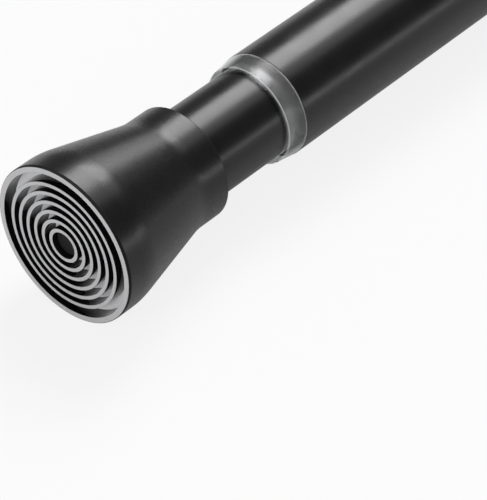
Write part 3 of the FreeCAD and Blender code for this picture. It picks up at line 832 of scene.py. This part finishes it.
class ROD_OT_spring(Operator):
    """Wind the compression spring"""

    bl_idname = "rod.spring"
    bl_label = "Spring"

    def execute(self, context):
        steel = metal("spring_steel", tuple(finishes().spring_grey), gloss=0.34, streak=8.0)
        start, end, radius = node_reach("compression_spring")
        piece = self.wind(start, end, radius)
        stand_for(piece, "compression_spring", "screw", steel)
        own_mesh(piece)
        dress_node("retaining_clip", steel)
        return {"FINISHED"}

    def wind(self, start, end, radius):
        """A round wire along a helix: centre (along, mean cos turn, mean sin turn), with the wire's
        circle spanned by the inward normal and the binormal. Points past the two end planes are
        brought back onto them, as grinding does.
        """
        s = sizes()
        wire = s.spring_wire / 2
        mean = radius - wire
        steps_per_turn, wire_steps = 48, 16
        rows = int(s.spring_turns * steps_per_turn) + 1
        turn = np.linspace(0.0, 2 * math.pi * s.spring_turns, rows)[:, None]
        rise = (end - start) / turn[-1, 0]
        slope = math.hypot(rise, mean)
        centre = np.stack([start + rise * turn, mean * np.cos(turn), mean * np.sin(turn)], axis=-1)
        inward = np.stack([0 * turn, -np.cos(turn), -np.sin(turn)], axis=-1)
        tangent = np.stack([rise + 0 * turn, -mean * np.sin(turn), mean * np.cos(turn)], axis=-1) / slope
        binormal = np.cross(tangent, inward)
        around = np.linspace(0.0, 2 * math.pi, wire_steps, endpoint=False)[None, :, None]
        skin = (centre + wire * (np.cos(around) * inward + np.sin(around) * binormal)).reshape(-1, 3)
        skin[:, 0] = np.clip(skin[:, 0], start, end)
        faces = ring_faces(rows, wire_steps, wrap_rows=False)[:, ::-1].tolist()
        faces += [list(range(wire_steps)), list(range(len(skin) - 1, len(skin) - wire_steps - 1, -1))]
        return mesh_piece("compression_spring_wound", skin, faces)


class ROD_OT_lock(Operator):
    """Finish the lock: threaded screw, pins, washers, nylon pieces and rings"""

    bl_idname = "rod.lock"
    bl_label = "Lock and inner pieces"

    def execute(self, context):
        zinc = metal("plated_steel", tuple(finishes().zinc_grey), gloss=0.3, streak=6.0)
        screw = self.thread()
        stand_for(screw, "lock_screw", "screw", zinc)
        for node in ("cross_pin", "seat_pin", "thrust_washer", "stop_washer"):
            dress_node(node, zinc)
        nylon, rubber = lock_plastic(), ring_rubber()
        for node in ("plunger", "spring_seat", "expander_sleeve", "wedge_nut"):
            dress_node(node, nylon)
        for node in ("friction_ring_front", "friction_ring_rear"):
            dress_node(node, rubber)
        return {"FINISHED"}

    def thread(self):
        """A stud whose radius falls from its crest by a trapezoid wave of (along / pitch - turn).

        The wave fades into the plain end. The clip's groove has a radius of its own, between rows a
        hair apart that keep its walls steep, and the tip's chamfer takes over where it cuts deeper.
        """
        s = sizes()
        start, end, radius = node_reach("lock_screw")
        clip_start, clip_end, _ = node_reach("retaining_clip")
        columns, rows_per_pitch = 48, 16
        crest_share, flank_share, sharp_from = 0.3, 0.4, math.radians(40.0)
        rows = int((end - start) / s.thread_pitch * rows_per_pitch)
        hair = 0.01 * MM
        along = np.linspace(start, end, rows)
        edges = [clip_start - hair, clip_start, clip_end, clip_end + hair, end - s.screw_chamfer]
        along = np.unique(np.concatenate([along, edges]))[:, None]
        angles = np.linspace(0.0, 2 * math.pi, columns, endpoint=False)
        wave = np.abs(((along - start) / s.thread_pitch - angles / (2 * math.pi)) % 1.0 - 0.5) * 2
        cut = np.clip((wave - crest_share) / flank_share, 0.0, 1.0)
        fade = np.clip((along - start - s.thread_runout) / s.thread_pitch, 0.0, 1.0)
        reach = radius - s.thread_depth * cut * fade
        in_groove = (along >= clip_start) & (along <= clip_end)
        reach = np.where(in_groove, radius - s.clip_groove_depth, reach)
        reach = np.minimum(reach, radius - s.screw_chamfer + (end - along))
        grid = np.stack(
            [along + 0 * angles, reach * np.cos(angles), reach * np.sin(angles)], axis=-1
        ).reshape(-1, 3)
        faces = ring_faces(len(along), columns, wrap_rows=False).tolist()
        faces += [list(range(columns))[::-1], list(range(len(grid) - columns, len(grid)))]
        piece = mesh_piece("lock_screw_threaded", grid, faces)
        piece.data.set_sharp_from_angle(angle=sharp_from)
        return piece


class ROD_OT_stage(Operator):
    """Lay the floor, hang the lights and set the camera"""

    bl_idname = "rod.stage"
    bl_label = "Stage"

    def execute(self, context):
        scene = context.scene
        scene.view_settings.view_transform = "Standard"
        self.lay_floor()
        self.paint_room(scene)
        st = stage_settings()
        rod_face = Vector((node_reach("inner_grip_pad")[0], 0.0, 0.0))
        middle = rod_face + Vector((st.seen_middle, 0.0, 0.0))
        self.softbox("overhead_softbox", st.key_power, middle, st.far_distance,
                     direction=(0.568, 0.27, 0.777), size=(1.9, 1.7))
        self.softbox("side_softbox", st.side_power, middle, st.far_distance,
                     direction=(0.82, 0.38, 0.43), size=(1.3, 1.2))
        self.softbox("dim_softbox", st.soft_power, middle, st.far_distance,
                     direction=(0.568, -0.13, 0.812), size=(1.9, 1.35))
        self.softbox("low_softbox", st.low_power, middle, st.far_distance,
                     direction=(0.56, -0.82, 0.055), size=(1.6, 0.33))
        self.softbox("tread_softbox", st.fill_power, rod_face, st.near_distance,
                     direction=(-0.85, -0.28, 0.45), size=(0.9, 0.9))
        self.set_camera(scene, rod_face)
        return {"FINISHED"}

    def lay_floor(self):
        """A flat sheet under the caps: part matt floor, which takes the rod's shadow, part plain white.

        The eye and rays through clear plastic see a large share of white, reflections a smaller one.
        """
        st = stage_settings()
        half = st.floor_size / 2
        level = BARE_FRAME_BOX[0][2]
        u, v = np.meshgrid([-half, half], [-half, half])
        corners = np.stack([u, v, np.full_like(u, level)], axis=-1).reshape(-1, 3)
        floor = mesh_piece("floor", corners, [[0, 1, 3, 2]])
        material = bpy.data.materials.new("pale_floor")
        material.use_nodes = True
        nodes, links = material.node_tree.nodes, material.node_tree.links
        nodes.clear()
        matt = nodes.new("ShaderNodeBsdfDiffuse")
        matt.inputs["Color"].default_value = (st.floor_grey, st.floor_grey, st.floor_grey, 1.0)
        white = nodes.new("ShaderNodeEmission")
        white.inputs["Strength"].default_value = 1.0
        path = nodes.new("ShaderNodeLightPath")
        share = self.largest_share(nodes, links, {
            path.outputs["Is Camera Ray"]: st.floor_glow,
            path.outputs["Is Transmission Ray"]: st.floor_glow,
            path.outputs["Is Glossy Ray"]: st.floor_sheen,
        })
        blend = nodes.new("ShaderNodeMixShader")
        links.new(share, blend.inputs["Fac"])
        links.new(matt.outputs[0], blend.inputs[1])
        links.new(white.outputs[0], blend.inputs[2])
        output = nodes.new("ShaderNodeOutputMaterial")
        links.new(blend.outputs[0], output.inputs["Surface"])
        floor.data.materials.append(material)

    def largest_share(self, nodes, links, shares):
        """The largest of several shares, each counted only where its kind of ray looks."""
        total = None
        for ray, share in shares.items():
            part = nodes.new("ShaderNodeMath")
            part.operation = "MULTIPLY"
            part.inputs[1].default_value = share
            links.new(ray, part.inputs[0])
            if total is None:
                total = part.outputs[0]
                continue
            larger = nodes.new("ShaderNodeMath")
            larger.operation = "MAXIMUM"
            links.new(total, larger.inputs[0])
            links.new(part.outputs[0], larger.inputs[1])
            total = larger.outputs[0]
        return total

    def paint_room(self, scene):
        """A room that is pale at eye level and dim overhead."""
        st = stage_settings()
        world = bpy.data.worlds.new("studio")
        world.use_nodes = True
        nodes, links = world.node_tree.nodes, world.node_tree.links
        direction = nodes.new("ShaderNodeTexCoord").outputs["Generated"]
        parts = nodes.new("ShaderNodeSeparateXYZ")
        links.new(direction, parts.inputs[0])
        fall = nodes.new("ShaderNodeMapRange")
        fall.interpolation_type = "SMOOTHSTEP"
        fall.inputs["From Min"].default_value = 0.0
        fall.inputs["From Max"].default_value = st.sky_fall
        fall.inputs["To Min"].default_value = st.sky_horizon
        fall.inputs["To Max"].default_value = st.sky_zenith
        links.new(parts.outputs["Z"], fall.inputs["Value"])
        links.new(fall.outputs["Result"], nodes["Background"].inputs["Color"])
        scene.world = world

    def softbox(self, name, power, target, distance, direction, size):
        """An oval lamp along a direction from its target, facing it, with its length along the rod."""
        lamp = bpy.data.lights.new(name, "AREA")
        lamp.shape = "ELLIPSE"
        lamp.size, lamp.size_y = size
        lamp.energy = power
        holder = bpy.data.objects.new(name, lamp)
        away = Vector(direction).normalized()
        holder.location = target + away * distance
        rod_way = Vector((1.0, 0.0, 0.0))
        length_way = (rod_way - away * rod_way.dot(away)).normalized()
        turn = Matrix((length_way, away.cross(length_way), away)).transposed()
        holder.rotation_euler = turn.to_euler()
        bpy.context.scene.collection.objects.link(holder)

    def set_camera(self, scene, rod_face):
        """The camera stands off the inner wall face and looks along its aim, level with the floor."""
        st = stage_settings()
        camera = bpy.data.cameras.new("camera")
        camera.lens = st.lens
        camera.clip_start = st.near_clip
        holder = bpy.data.objects.new("camera", camera)
        holder.location = rod_face + Vector(st.camera_offset)
        holder.rotation_euler = Vector(st.camera_aim).to_track_quat("-Z", "Y").to_euler()
        scene.collection.objects.link(holder)
        scene.camera = holder


OPERATORS = (
    ROD_OT_tubes,
    ROD_OT_end_caps,
    ROD_OT_grip_pads,
    ROD_OT_clear_collar,
    ROD_OT_spring,
    ROD_OT_lock,
    ROD_OT_stage,
)


class ROD_PT_sidebar(Panel):
    """The rod's sizes, finishes and pieces"""

    bl_idname = "ROD_PT_sidebar"
    bl_label = "Tension Rod"
    bl_space_type = "VIEW_3D"
    bl_region_type = "UI"
    bl_category = "Tension Rod"

    def draw(self, context):
        for group in (context.scene.rod_sizes, context.scene.rod_finish, context.scene.rod_stage):
            box = self.layout.box()
            for name in type(group).__annotations__:
                box.prop(group, name)
        for operator in OPERATORS:
            self.layout.operator(operator.bl_idname)


CLASSES = (RodSizes, RodFinish, StageSettings, *OPERATORS, ROD_PT_sidebar)


def register():
    """Make the sizes, operators and panel known to Blender."""
    for item in CLASSES:
        bpy.utils.register_class(item)
    bpy.types.Scene.rod_sizes = PointerProperty(type=RodSizes)
    bpy.types.Scene.rod_finish = PointerProperty(type=RodFinish)
    bpy.types.Scene.rod_stage = PointerProperty(type=StageSettings)


def unregister():
    """Take away what register added."""
    del bpy.types.Scene.rod_stage
    del bpy.types.Scene.rod_finish
    del bpy.types.Scene.rod_sizes
    for item in reversed(CLASSES):
        bpy.utils.unregister_class(item)


def main():
    """Build the rod and its stage."""
    register()
    bpy.ops.rod.tubes()
    bpy.ops.rod.end_caps()
    bpy.ops.rod.grip_pads()
    bpy.ops.rod.clear_collar()
    bpy.ops.rod.spring()
    bpy.ops.rod.lock()
    bpy.ops.rod.stage()


if __name__ == "__main__":
    main()
